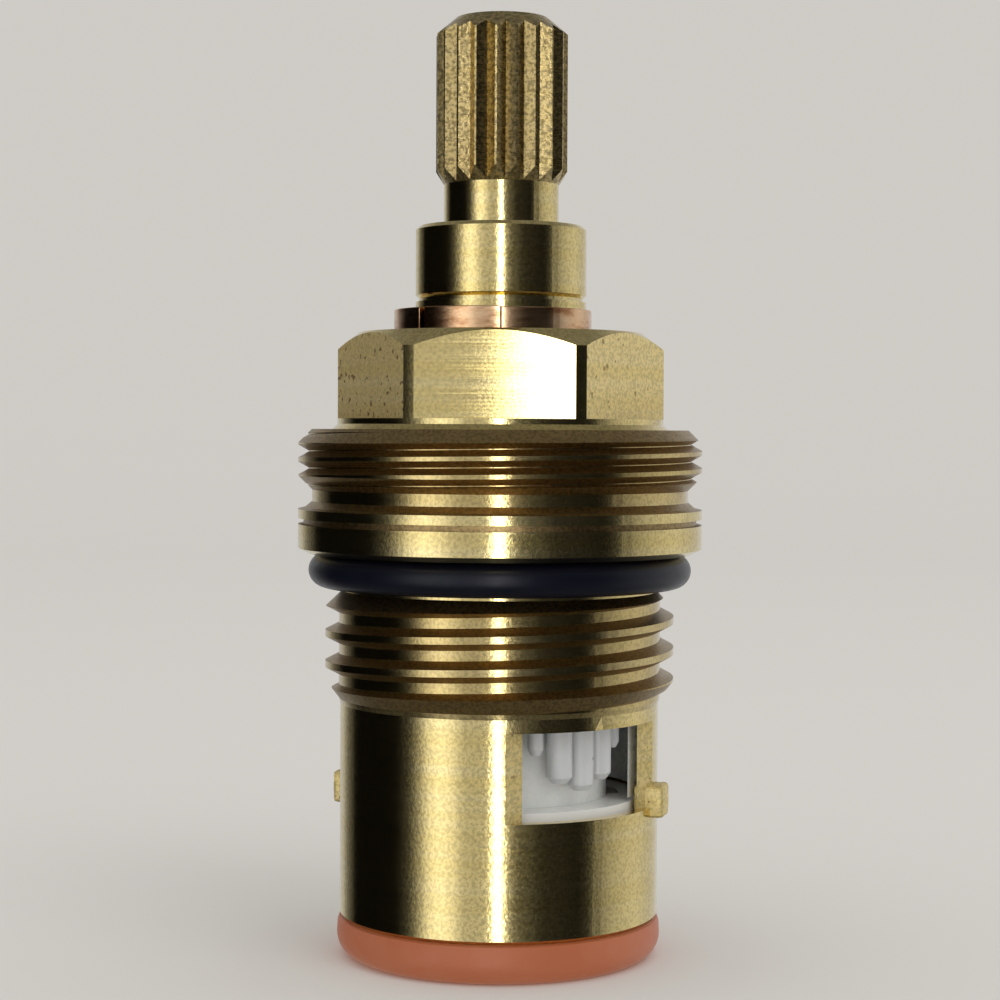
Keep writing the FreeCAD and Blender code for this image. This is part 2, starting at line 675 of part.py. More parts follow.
def make_coupling():
    """The white plastic coupling: two wings, a slot for the stem's tongue, and two pegs."""
    height = "coupling_height - coupling_gap"
    angle = "180 - coupling_opening"
    hub = solid("Cylinder", "coupling_hub", Radius="coupling_hub_radius", Height=height)
    blank = fuse("coupling_blank", [
        place(hub, z=COUPLING_FOOT),
        sector("coupling_wing_front", COUPLING_RADIUS, height, angle, "-90", COUPLING_FOOT),
        sector("coupling_wing_back", COUPLING_RADIUS, height, angle, "90", COUPLING_FOOT),
    ])
    thickness = "tongue_thickness + 2 * fit_gap"
    width = "tongue_width + 2 * fit_gap"
    slot = solid("Box", "coupling_slot", Length=thickness, Width=width, Height="tongue_length + cutter_run")
    place(slot, x=f"-({thickness}) / 2", y=f"-({width}) / 2", z=f"{STEM_FOOT} - tongue_length - fit_gap")
    things = [cut("coupling_slotted", blank, slot)]
    for name, reach in (("front", f"-{PEG_REACH}"), ("back", PEG_REACH)):
        peg = solid("Cylinder", f"peg_{name}", Radius="peg_radius", Height="peg_height + peg_root")
        things.append(place(peg, y=reach, z=f"{COUPLING_FOOT} - peg_height"))
    return fuse("coupling", things)


def make_moving_disc():
    """The upper ceramic disc, shut at rest: its ports lie a quarter turn from the lower ones."""
    foot = f"{MOVING_DISC_FOOT} + seat_gap"
    height = "moving_disc_height - seat_gap"
    blank = solid("Cylinder", "moving_disc_blank", Radius="chamber_radius - moving_disc_gap", Height=height)
    place(blank, z=foot)
    tools = [port("moving_port_right", "0", height, foot), port("moving_port_left", "180", height, foot)]
    for name, reach in (("front", f"-{PEG_REACH}"), ("back", PEG_REACH)):
        hole = solid("Cylinder", f"peg_hole_{name}", Radius="peg_radius", Height="peg_height + cutter_run")
        tools.append(place(hole, y=reach, z=f"{COUPLING_FOOT} - peg_height"))
    return cut("moving_disc", blank, tools)


nodes = [
    make_housing(),
    make_flange_oring(),
    make_bottom_seal(),
    make_support_ring(),
    make_fixed_disc(),
    make_silencer(),
    make_slip_washer(),
    make_stem(),
    make_stem_oring("stem_o_ring_lower", "0"),
    make_stem_oring("stem_o_ring_upper", "oring_spacing"),
    make_circlip(),
    make_coupling(),
    make_moving_disc(),
]
doc.recompute()

failed = [thing.Name for thing in doc.Objects if "Invalid" in thing.State or "Error" in thing.State]
if failed:
    raise SystemExit(f"these objects failed: {failed}")

os.makedirs("parts", exist_ok=True)
for node in nodes:
    shape = node.Shape
    if shape.isNull() or not shape.isValid() or len(shape.Solids) != 1:
        raise SystemExit(f"{node.Label} is not one valid solid")
    box = shape.BoundBox
    print(f"{node.Label}: {shape.Volume:.2f} mm3, z {box.ZMin:.2f} to {box.ZMax:.2f}, x to {box.XMax:.3f}")
    shape.exportStep(f"parts/{node.Label}.step")
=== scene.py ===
from math import cos, pi, radians, sin

import bpy
from mathutils import Matrix, Vector


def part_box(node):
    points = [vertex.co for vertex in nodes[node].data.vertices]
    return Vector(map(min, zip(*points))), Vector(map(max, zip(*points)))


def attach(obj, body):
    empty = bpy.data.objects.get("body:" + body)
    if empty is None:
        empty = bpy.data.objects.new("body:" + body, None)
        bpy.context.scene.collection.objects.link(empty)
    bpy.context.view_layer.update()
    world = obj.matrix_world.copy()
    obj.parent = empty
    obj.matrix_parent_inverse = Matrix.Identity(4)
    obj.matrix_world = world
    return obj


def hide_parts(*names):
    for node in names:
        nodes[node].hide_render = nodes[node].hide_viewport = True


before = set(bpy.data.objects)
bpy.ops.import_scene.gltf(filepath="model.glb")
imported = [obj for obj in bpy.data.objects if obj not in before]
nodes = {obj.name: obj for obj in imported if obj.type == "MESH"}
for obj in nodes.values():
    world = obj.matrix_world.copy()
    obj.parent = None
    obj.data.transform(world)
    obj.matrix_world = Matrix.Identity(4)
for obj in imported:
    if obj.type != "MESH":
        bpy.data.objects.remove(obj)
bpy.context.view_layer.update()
mm = 0.001

# The photograph looks at the part from 36.8 degrees to the left of its front window
photo = {"turn": radians(-36.8), "distance": 136 * mm, "height": 30.95 * mm, "lens": 82.7,
         "tilt": radians(1.74), "roll": radians(0.27)}
towardsCamera = Vector((sin(photo["turn"]), -cos(photo["turn"]), 0))
towardsRight = Vector((cos(photo["turn"]), sin(photo["turn"]), 0))


# Node editor helpers

def newMaterial(name):
    material = bpy.data.materials.new(name)
    material.use_nodes = True
    tree = material.node_tree
    return material, tree, tree.nodes["Principled BSDF"]


def addNode(tree, kind, **settings):
    node = tree.nodes.new("ShaderNode" + kind)
    for name, value in settings.items():
        setattr(node, name, value)
    return node


def feed(tree, socket, value):
    if isinstance(value, bpy.types.NodeSocket):
        tree.links.new(value, socket)
    elif isinstance(value, tuple) and len(value) == 3 and socket.type == "RGBA":
        socket.default_value = (*value, 1)
    else:
        socket.default_value = value


def objectCoords(tree, scale=(1, 1, 1)):
    mapping = addNode(tree, "Mapping")
    mapping.inputs["Scale"].default_value = scale
    tree.links.new(addNode(tree, "TexCoord").outputs["Object"], mapping.inputs["Vector"])
    return mapping.outputs["Vector"]


def noise(tree, vector, scale, detail=4.0, roughness=0.5):
    node = addNode(tree, "TexNoise")
    for name, value in (("Vector", vector), ("Scale", scale), ("Detail", detail), ("Roughness", roughness)):
        feed(tree, node.inputs[name], value)
    return node.outputs["Fac"]


def ramp(tree, value, stops):
    node = addNode(tree, "ValToRGB")
    elements = node.color_ramp.elements
    while len(elements) < len(stops):
        elements.new(0.5)
    for element, (place, colour) in zip(elements, stops):
        element.position = place
        element.color = (*colour, 1) if isinstance(colour, tuple) else (colour, colour, colour, 1)
    feed(tree, node.inputs["Fac"], value)
    return node.outputs["Color"]


def mixColour(tree, factor, first, second, mode="MIX"):
    node = addNode(tree, "Mix", data_type="RGBA", blend_type=mode)
    for socket, value in ((node.inputs[0], factor), (node.inputs[6], first), (node.inputs[7], second)):
        feed(tree, socket, value)
    return node.outputs[2]


def maths(tree, operation, first, second=0.0):
    node = addNode(tree, "Math", operation=operation)
    feed(tree, node.inputs[0], first)
    feed(tree, node.inputs[1], second)
    return node.outputs[0]


def bump(tree, height, distance):
    node = addNode(tree, "Bump")
    feed(tree, node.inputs["Distance"], distance)
    feed(tree, node.inputs["Height"], height)
    return node.outputs["Normal"]


# Metals

brass = {"colour": (0.83, 0.66, 0.27), "pale": (0.93, 0.80, 0.46), "stain": (0.40, 0.25, 0.10),
         "darkTone": (0.42, 0.29, 0.13), "pitColour": (0.20, 0.11, 0.05), "fineLines": (60, 60, 7000),
         "coarseLines": (25, 25, 1500), "cloudScale": 170, "grainScale": 5200, "pitScale": 2100,
         "cutterScale": 1450, "cutterBend": 0.4, "stainSpread": 0.22, "stainShare": 0.6, "roughSpread": 0.14,
         "pitEdge": 0.03, "pitRoughness": 0.3}


# Depths are in metres, shares run from 0 to 1, and stainFrom and pitsFrom are noise levels
def makeBrass(name, lineDepth, roughness, stainFrom, pits=0.0, grain=0.003 * mm, dark=0.0, cutterLines=0.0,
              metal=1.0, speckle=0.22, pitsFrom=0.64):
    material, tree, shader = newMaterial(name)
    feed(tree, shader.inputs["Metallic"], metal)

    # Tool lines run round the axis, so their pattern hardly changes along X and Y
    fine = noise(tree, objectCoords(tree, brass["fineLines"]), 1.0, 3.0, 0.6)
    coarse = noise(tree, objectCoords(tree, brass["coarseLines"]), 1.0, 2.0, 0.5)
    lines = maths(tree, "ADD", fine, maths(tree, "MULTIPLY", coarse, 2.0))
    sand = noise(tree, objectCoords(tree), brass["grainScale"], 2.0, 0.55)
    sandHeight = maths(tree, "MULTIPLY", sand, grain / mm)
    height = maths(tree, "ADD", maths(tree, "MULTIPLY", lines, lineDepth / mm), sandHeight)
    if cutterLines:
        passes = addNode(tree, "TexWave", wave_type="BANDS", bands_direction="Z")
        feed(tree, passes.inputs["Vector"], objectCoords(tree))
        feed(tree, passes.inputs["Scale"], brass["cutterScale"])
        feed(tree, passes.inputs["Distortion"], brass["cutterBend"])
        height = maths(tree, "ADD", height, maths(tree, "MULTIPLY", passes.outputs["Fac"], cutterLines / mm))

    cloud = noise(tree, objectCoords(tree), brass["cloudScale"], 6.0, 0.65)
    stainTo = min(stainFrom + brass["stainSpread"], 1.0)
    stain = ramp(tree, cloud, [(stainFrom, 0.0), (stainTo, brass["stainShare"])])
    streaked = mixColour(tree, ramp(tree, coarse, [(0.4, 0.0), (0.75, 0.5)]), brass["colour"], brass["pale"])
    colour = mixColour(tree, stain, streaked, brass["stain"])
    # The dark share blends the whole finish towards a darker brass: painted shade on thread flanks, thread
    # crests and roots, the ring groove and the left hex flat, and a plain darkening on the spline teeth
    if dark:
        colour = mixColour(tree, dark, colour, brass["darkTone"])
    shade = 1.0 - speckle
    sandTone = ramp(tree, sand, [(0.40, (shade, shade, shade)), (0.56, (1.0, 1.0, 1.0))])
    colour = mixColour(tree, 1.0, colour, sandTone, "MULTIPLY")
    spread = brass["roughSpread"]
    rough = maths(tree, "ADD", maths(tree, "MULTIPLY", fine, spread), roughness - spread / 2)
    if pits:
        speck = noise(tree, objectCoords(tree), brass["pitScale"], 1.5, 0.5)
        hollow = ramp(tree, speck, [(pitsFrom, 0.0), (pitsFrom + brass["pitEdge"], 1.0)])
        colour = mixColour(tree, maths(tree, "MULTIPLY", hollow, pits), colour, brass["pitColour"])
        rough = maths(tree, "ADD", rough, maths(tree, "MULTIPLY", hollow, brass["pitRoughness"]))
    feed(tree, shader.inputs["Base Color"], colour)
    feed(tree, shader.inputs["Roughness"], rough)
    feed(tree, shader.inputs["Normal"], bump(tree, height, 1.0 * mm))
    return material


bronze = {"tones": [(0.35, (0.46, 0.22, 0.10)), (0.5, (0.80, 0.51, 0.29)), (0.7, (0.90, 0.66, 0.42))],
          "cloudScale": 420.0, "depth": 0.012 * mm, "roughSpread": 0.16, "smoothest": 0.10}


def makeBronze():
    material, tree, shader = newMaterial("bronzeClip")
    feed(tree, shader.inputs["Metallic"], 1.0)
    cloud = noise(tree, objectCoords(tree, (1, 1, 3)), bronze["cloudScale"], 5.0, 0.65)
    feed(tree, shader.inputs["Base Color"], ramp(tree, cloud, bronze["tones"]))
    rough = maths(tree, "ADD", maths(tree, "MULTIPLY", cloud, bronze["roughSpread"]), bronze["smoothest"])
    feed(tree, shader.inputs["Roughness"], rough)
    feed(tree, shader.inputs["Normal"], bump(tree, cloud, bronze["depth"]))
    return material


# Rubber, ceramic and plastics

matt = {"cloudScale": 260.0, "roughSpread": 0.2, "glowRadius": (1.0, 0.5, 0.35), "glowDepth": 0.6 * mm}


def makeMatt(name, colour, dusty, roughness, grain, depth, dustShare=0.25, gloss=0.5, glow=0.0):
    material, tree, shader = newMaterial(name)
    vector = objectCoords(tree)
    cloud = noise(tree, vector, matt["cloudScale"], 5.0, 0.6)
    tone = mixColour(tree, ramp(tree, cloud, [(0.45, 0.0), (0.8, dustShare)]), colour, dusty)
    feed(tree, shader.inputs["Base Color"], tone)
    speck = noise(tree, vector, grain, 3.0, 0.6)
    spread = matt["roughSpread"]
    rough = maths(tree, "ADD", maths(tree, "MULTIPLY", speck, spread), roughness - spread / 2)
    feed(tree, shader.inputs["Roughness"], rough)
    feed(tree, shader.inputs["Normal"], bump(tree, speck, depth))
    feed(tree, shader.inputs["Specular IOR Level"], gloss)
    if glow:
        feed(tree, shader.inputs["Subsurface Weight"], glow)
        feed(tree, shader.inputs["Subsurface Radius"], matt["glowRadius"])
        feed(tree, shader.inputs["Subsurface Scale"], matt["glowDepth"])
    return material


clear = {"dull": (0.72, 0.73, 0.74), "bright": (0.86, 0.87, 0.87), "cloudScale": 500.0, "roughSpread": 0.2,
         "smoothest": 0.2, "transmission": 0.35, "ior": 1.49, "depth": 0.02 * mm}


def makeClearPlastic():
    material, tree, shader = newMaterial("clearPlastic")
    cloud = noise(tree, objectCoords(tree), clear["cloudScale"], 4.0, 0.6)
    feed(tree, shader.inputs["Base Color"], mixColour(tree, cloud, clear["dull"], clear["bright"]))
    rough = maths(tree, "ADD", maths(tree, "MULTIPLY", cloud, clear["roughSpread"]), clear["smoothest"])
    feed(tree, shader.inputs["Roughness"], rough)
    feed(tree, shader.inputs["Transmission Weight"], clear["transmission"])
    feed(tree, shader.inputs["IOR"], clear["ior"])
    feed(tree, shader.inputs["Normal"], bump(tree, cloud, clear["depth"]))
    return material


finishes = {
    "turned": makeBrass("turnedBrass", 0.0020 * mm, 0.13, 0.62, grain=0.006 * mm),
    "milled": makeBrass("milledBrass", 0.0003 * mm, 0.050, 0.66, grain=0.0006 * mm, cutterLines=0.004 * mm,
                        speckle=0.14),
    # The left hex flat's pitted brass, painted darker as shade
    "pittedShaded": makeBrass("pittedShadedBrass", 0.0020 * mm, 0.50, 0.62, pits=0.9, dark=0.18, metal=0.62),
    # Sawn brass for the window sills and burrs, also the right hex flat's lighter copy standing in for more
    # light
    "sawn": makeBrass("sawnBrass", 0.0020 * mm, 0.48, 0.66, pits=0.6, metal=0.50, speckle=0.26,
                      pitsFrom=0.70),
    # Thread crests and roots are painted darker as shade
    "threaded": makeBrass("threadedBrass", 0.0016 * mm, 0.14, 0.56, grain=0.006 * mm, dark=0.4),
    "toothed": makeBrass("toothedBrass", 0.0040 * mm, 0.28, 0.50, grain=0.014 * mm, dark=0.5, speckle=0.55),
    # Painted shade: thread flanks and the ring groove get a nearly full dark share
    "paintedShade": makeBrass("paintedShadeBrass", 0.0016 * mm, 0.34, 0.40, grain=0.006 * mm, dark=0.95, speckle=0.35),
    "bronze": makeBronze(),
    "blackRubber": makeMatt("blackRubber", (0.003, 0.004, 0.011), (0.010, 0.012, 0.022), 0.32, 2500.0,
                            0.004 * mm, 0.4, gloss=0.3),
    "silicone": makeMatt("sealSilicone", (0.44, 0.125, 0.050), (0.52, 0.22, 0.13), 0.42, 1800.0,
                         0.010 * mm, 0.35, glow=0.25),
    "ceramic": makeMatt("whiteCeramic", (0.86, 0.86, 0.83), (0.72, 0.70, 0.66), 0.20, 3000.0,
                        0.002 * mm, 0.2),
    "whitePlastic": makeMatt("whitePlastic", (0.84, 0.85, 0.82), (0.74, 0.74, 0.70), 0.28, 1500.0,
                             0.004 * mm, 0.2, glow=0.15),
    "clearPlastic": makeClearPlastic(),
}
print("finishes made")


# Pieces

def deselectAll():
    if bpy.context.object and bpy.context.object.mode != "OBJECT":
        bpy.ops.object.mode_set(mode="OBJECT")
    bpy.ops.object.select_all(action="DESELECT")


def makeActive(piece):
    deselectAll()
    piece.select_set(True)
    bpy.context.view_layer.objects.active = piece


hexagon = {"halfFlats": 8.5 * mm, "foot": 31.5 * mm, "top": 36.7 * mm, "slack": 0.03 * mm, "lean": 0.02}


def onHexFlat(middle, normal):
    apart = abs(middle.dot(normal) - hexagon["halfFlats"])
    upright = abs(normal.z) < hexagon["lean"]
    return upright and hexagon["foot"] < middle.z < hexagon["top"] and apart < hexagon["slack"]


# Cosines that tell level faces, mill flats and round faces apart
faceKinds = {"level": 0.999, "millFlat": 0.9995, "roundAcross": 0.16}


def roundNormals(mesh):
    # Turned faces take the normal of the true round surface, and flat ones keep their own
    normals = [None] * len(mesh.loops)
    for face in mesh.polygons:
        normal = face.normal
        outward = Vector((face.center.x, face.center.y, 0)).normalized()
        sideways = Vector((-outward.y, outward.x, 0))
        across = normal.dot(sideways)
        level = abs(normal.z) > faceKinds["level"]
        millFlat = max(abs(normal.x), abs(normal.y)) > faceKinds["millFlat"]
        isRound = abs(across) < faceKinds["roundAcross"] and not level and not millFlat
        isRound = isRound and not onHexFlat(face.center, normal)
        for loop in face.loop_indices:
            if isRound:
                point = mesh.vertices[mesh.loops[loop].vertex_index].co
                around = Vector((point.x, point.y, 0)).normalized()
                normals[loop] = (around * normal.dot(outward) + Vector((0, 0, normal.z))).normalized()
            else:
                normals[loop] = normal.copy()
    mesh.normals_split_custom_set(normals)


def smoothCopy(node, name, finish, body):
    piece = nodes[node].copy()
    piece.data = nodes[node].data.copy()
    piece.name = name
    piece.data.name = name
    piece.parent = None
    for key in list(piece.keys()):
        del piece[key]
    bpy.context.scene.collection.objects.link(piece)
    makeActive(piece)
    bpy.ops.object.mode_set(mode="EDIT")
    bpy.ops.mesh.select_all(action="SELECT")
    bpy.ops.mesh.remove_doubles(threshold=0.002 * mm)
    bpy.ops.object.mode_set(mode="OBJECT")
    bpy.ops.object.shade_smooth()
    roundNormals(piece.data)
    piece.data.materials.clear()
    piece.data.materials.append(finishes[finish])
    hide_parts(node)
    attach(piece, body)
    return piece


def turnRing(name, corners, steps, finish, body, standsFor):
    deselectAll()
    firstRadius, firstHeight = corners[0]
    bpy.ops.mesh.primitive_circle_add(vertices=steps, radius=firstRadius, location=(0, 0, firstHeight))
    piece = bpy.context.object
    piece.name = name
    piece.data.name = name
    bpy.ops.object.transform_apply(location=True, rotation=False, scale=False)
    bpy.ops.object.mode_set(mode="EDIT")
    bpy.ops.mesh.select_all(action="SELECT")
    for (radius, height), (newRadius, newHeight) in zip(corners, corners[1:] + corners[:1]):
        bpy.ops.mesh.extrude_region_move(TRANSFORM_OT_translate={"value": (0, 0, newHeight - height)})
        share = newRadius / radius
        bpy.ops.transform.resize(value=(share, share, 1), center_override=(0, 0, newHeight))
    bpy.ops.mesh.select_all(action="SELECT")
    bpy.ops.mesh.remove_doubles(threshold=0.001 * mm)
    bpy.ops.mesh.normals_make_consistent(inside=False)
    bpy.ops.object.mode_set(mode="OBJECT")
    bpy.ops.object.shade_smooth_by_angle(angle=radians(40))
    piece.data.materials.append(finishes[finish])
    if standsFor:
        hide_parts(standsFor)
    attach(piece, body)
    return piece


def roundSection(middle, radius, height, sides):
    turns = [2 * pi * side / sides for side in range(sides)]
    return [(middle + cos(turn) * radius, height + sin(turn) * radius) for turn in turns]


# The brass body's zones, which choose a finish for each face
threads = {"flank": 0.4, "pipeFoot": 14.9 * mm, "pipeTop": 21.5 * mm, "coverFoot": 26.3 * mm,
           "coverTop": 31.0 * mm}
groove = {"foot": 25.3 * mm, "top": 25.85 * mm, "rim": 11.85 * mm}
windowFrame = {"foot": 8.0 * mm, "top": 14.6 * mm}
splineFoot = 45.3 * mm


def housingFinish(middle, normal):
    turned, milled, pittedShaded, threaded, paintedShade, sawn = range(6)
    if onHexFlat(middle, normal):
        if abs(normal.dot(towardsCamera)) > 0.9:
            return milled
        # The left flat takes painted shade and the right flat a lighter copy as painted light
        return pittedShaded if normal.dot(towardsRight) < 0 else sawn
    # The ring groove is painted dark as shade in its recess
    if groove["foot"] < middle.z < groove["top"] and Vector((middle.x, middle.y)).length < groove["rim"]:
        return paintedShade
    inPipe = threads["pipeFoot"] < middle.z < threads["pipeTop"]
    inCover = threads["coverFoot"] < middle.z < threads["coverTop"]
    if inPipe or inCover:
        # Thread flanks facing up or down are painted dark as shade, and crests and roots a little less
        return paintedShade if abs(normal.z) > threads["flank"] else threaded
    isFrame = windowFrame["foot"] < middle.z < windowFrame["top"] and abs(normal.y) > faceKinds["millFlat"]
    return sawn if isFrame else turned


def stemFinish(middle, normal):
    return 1 if middle.z > splineFoot else 0


def roundEdges(piece, width):
    makeActive(piece)  # its merged faces are bevelled only where they meet at a sharp edge
    bpy.ops.mesh.customdata_custom_splitnormals_clear()
    bpy.ops.object.mode_set(mode="EDIT")
    bpy.ops.mesh.select_all(action="SELECT")
    bpy.ops.mesh.dissolve_limited(angle_limit=radians(0.4))
    bpy.ops.object.mode_set(mode="OBJECT")
    rounding = piece.modifiers.new("rounding", "BEVEL")
    rounding.width = width
    rounding.segments = 3
    rounding.limit_method = "ANGLE"
    rounding.angle_limit = radians(40)
    rounding.use_clamp_overlap = True
    bpy.ops.object.modifier_apply(modifier=rounding.name)
    bpy.ops.object.shade_smooth()
    roundNormals(piece.data)


def shareFinishes(piece, extra, choose):
    for finish in extra:
        piece.data.materials.append(finishes[finish])
    for face in piece.data.polygons:
        face.material_index = choose(face.center, face.normal)


# The metal parts keep their CAD shape, merged and shaded smooth
housing = smoothCopy("housing", "housingBody", "turned", "housing")
shareFinishes(housing, ("milled", "pittedShaded", "threaded", "paintedShade", "sawn"), housingFinish)
stem = smoothCopy("stem", "splinedStem", "turned", "stem")
shareFinishes(stem, ("toothed",), stemFinish)
clip = smoothCopy("circlip", "stemClip", "bronze", "stem")
roundEdges(clip, 0.14 * mm)
smoothCopy("fixed_disc", "lowerDisc", "ceramic", "housing")
smoothCopy("moving_disc", "upperDisc", "ceramic", "stem")
smoothCopy("coupling", "stemCoupling", "whitePlastic", "stem")
smoothCopy("slip_washer", "slipWasher", "whitePlastic", "housing")
smoothCopy("seal_support_ring", "supportRing", "whitePlastic", "housing")
smoothCopy("silencer", "silencerComb", "clearPlastic", "housing")
print("CAD parts dressed")

# Rubber rings, from the middle and section of their CAD boxes
ringSteps = {"section": 28, "around": 160}
for node, name, body in (("flange_o_ring", "flangeRing", "housing"),
                         ("stem_o_ring_lower", "lowerStemRing", "stem"),
                         ("stem_o_ring_upper", "upperStemRing", "stem")):
    low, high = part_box(node)
    section = (high.z - low.z) / 2
    middle = high.x - section
    corners = roundSection(middle, section, (high.z + low.z) / 2, ringSteps["section"])
    turnRing(name, corners, ringSteps["around"], "blackRubber", body, node)

# The seal's lip bulges out under the barrel
seal = {"holeRadius": 7.0 * mm, "neckRadius": 8.78 * mm, "footRadius": 8.4 * mm, "widest": 1.35 * mm,
        "holeRound": 0.3 * mm, "curveSteps": 10, "lipHeight": 1.95 * mm, "lipTopRadius": 9.2 * mm,
        "lipIn": 0.04 * mm, "lipRound": 0.14 * mm, "lipDrop": 0.12 * mm, "steps": 192}


def makeSeal():
    low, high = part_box("bottom_seal")
    barrelLow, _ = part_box("housing")
    lipTop = barrelLow.z
    hole = seal["holeRadius"]
    corners = [(hole, seal["holeRound"]), (hole + 0.1 * mm, 0.08 * mm), (hole + seal["holeRound"], 0.0)]
    for step in range(seal["curveSteps"] + 1):
        turn = pi / 2 * step / seal["curveSteps"]
        reach = seal["footRadius"] + sin(turn) * (high.x - seal["footRadius"])
        corners.append((reach, (1 - cos(turn)) * seal["widest"]))
    corners += [(high.x - seal["lipIn"], seal["lipHeight"]),
                (high.x - seal["lipRound"], lipTop - seal["lipDrop"]),
                (seal["lipTopRadius"], lipTop), (seal["neckRadius"], lipTop), (seal["neckRadius"], high.z),
                (hole, high.z)]
    turnRing("footSeal", corners, seal["steps"], "silicone", "housing", "bottom_seal")


makeSeal()
print("rubber parts made")

# A white liner stands inside the barrel wall and is open at both windows
liner = {"outer": 8.72 * mm, "inner": 8.25 * mm, "foot": 9.7 * mm, "top": 14.5 * mm, "steps": 180,
         "openReach": 7.25 * mm}


def makeLiner():
    outer, inner, foot, top = (liner[name] for name in ("outer", "inner", "foot", "top"))
    corners = [(outer, foot), (outer, top), (inner, top), (inner, foot)]
    piece = turnRing("windowLiner", corners, liner["steps"], "whitePlastic", "housing", None)
    bpy.ops.object.mode_set(mode="EDIT")
    bpy.ops.mesh.select_mode(type="FACE")
    bpy.ops.mesh.select_all(action="DESELECT")
    bpy.ops.object.mode_set(mode="OBJECT")
    for face in piece.data.polygons:
        face.select = abs(face.center.y) > liner["openReach"]
    bpy.ops.object.mode_set(mode="EDIT")
    bpy.ops.mesh.delete(type="FACE")
    bpy.ops.mesh.select_mode(type="VERT")
    bpy.ops.mesh.select_all(action="SELECT")
    bpy.ops.mesh.fill_holes(sides=4)
    bpy.ops.mesh.select_all(action="SELECT")
    bpy.ops.mesh.normals_make_consistent(inside=False)
    bpy.ops.object.mode_set(mode="OBJECT")


makeLiner()

# The window cutter left a lump of brass standing at the sill's right corner
burr = {"turn": radians(-52.5), "reach": 9.25 * mm, "height": 9.45 * mm,
        "size": (1.75 * mm, 1.80 * mm, 1.90 * mm), "edge": 0.22 * mm, "jitter": 0.035 * mm}


def makeBurr(name, turn):
    deselectAll()
    place = (cos(turn) * burr["reach"], sin(turn) * burr["reach"], burr["height"])
    bpy.ops.mesh.primitive_cube_add(size=1, location=place, rotation=(0, 0, turn))
    piece = bpy.context.object
    piece.name = name
    piece.data.name = name
    piece.scale = burr["size"]
    bpy.ops.object.transform_apply(location=True, rotation=True, scale=True)
    bpy.ops.object.mode_set(mode="EDIT")
    bpy.ops.mesh.select_all(action="SELECT")
    bpy.ops.mesh.bevel(offset=burr["edge"], segments=2, affect="EDGES")
    bpy.ops.mesh.subdivide(number_cuts=3)
    bpy.ops.mesh.vertices_smooth(factor=0.5, repeat=2)
    bpy.ops.transform.vertex_random(offset=burr["jitter"], uniform=0.4, normal=0.7, seed=4)
    bpy.ops.object.mode_set(mode="OBJECT")
    bpy.ops.object.shade_smooth_by_angle(angle=radians(60))
    piece.data.materials.append(finishes["sawn"])
    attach(piece, "housing")


makeBurr("windowBurrFront", burr["turn"])
makeBurr("windowBurrBack", burr["turn"] + pi)
print("liner and burrs made")


# Stage, light and camera

studio = {"floorRadius": 0.45, "wallHeight": 0.6, "coveRadius": 0.15, "coveSteps": 8,
          "floorColour": (0.74, 0.725, 0.70), "keyPower": 0.55, "keyPlace": (0.28, -0.35, 0.45),
          "keySize": 0.35, "keyTarget": 0.025, "diffuseLevel": 0.80, "overhead": 0.20, "underneath": 0.12}


def makeStage():
    deselectAll()
    bpy.ops.mesh.primitive_circle_add(vertices=96, radius=studio["floorRadius"], fill_type="NGON",
                                      location=(0, 0, 0))
    bowl = bpy.context.object
    bowl.name = "studioFloor"
    bpy.ops.object.mode_set(mode="EDIT")
    bpy.ops.mesh.select_all(action="SELECT")
    for step in range(1, studio["coveSteps"] + 1):
        turn = pi / 2 * step / studio["coveSteps"]
        last = pi / 2 * (step - 1) / studio["coveSteps"]
        rise = (cos(last) - cos(turn)) * studio["coveRadius"]
        reach = studio["floorRadius"] + sin(turn) * studio["coveRadius"]
        before = studio["floorRadius"] + sin(last) * studio["coveRadius"]
        bpy.ops.mesh.extrude_region_move(TRANSFORM_OT_translate={"value": (0, 0, rise)})
        bpy.ops.transform.resize(value=(reach / before, reach / before, 1), center_override=(0, 0, 0))
    bpy.ops.mesh.extrude_region_move(TRANSFORM_OT_translate={"value": (0, 0, studio["wallHeight"])})
    bpy.ops.object.mode_set(mode="OBJECT")
    bpy.ops.object.shade_smooth()
    material, tree, shader = newMaterial("studioPaper")
    feed(tree, shader.inputs["Base Color"], studio["floorColour"])
    feed(tree, shader.inputs["Roughness"], 0.9)
    feed(tree, shader.inputs["Specular IOR Level"], 0.0)
    bowl.data.materials.append(material)
    bowl.visible_glossy = False
    bowl.visible_diffuse = False
    bowl.visible_transmission = False
    bowl.visible_shadow = False


# What the metal mirrors, by the angle from the camera towards the right, and how bright it is there
mirrorBands = [(-180, 0.62), (-152, 0.50), (-140, 0.16), (-126, 0.004), (-76, 0.004), (-66, 0.05),
               (-58, 0.35), (-51, 1.05), (-42, 1.50), (-33, 1.10), (-25, 0.58), (-12, 0.52), (-4, 0.55),
               (4, 0.55), (8, 0.24), (14, 0.12), (30, 0.03), (60, 0.012), (68, 0.04), (78, 0.28), (90, 0.46),
               (104, 0.60), (118, 0.66), (140, 0.55), (160, 0.62), (180, 0.62)]

# A narrow lamp straight behind the camera gives the bright line down the middle
flash = {"start": -4.1, "end": 3.2, "edge": 0.9, "level": 4.4}


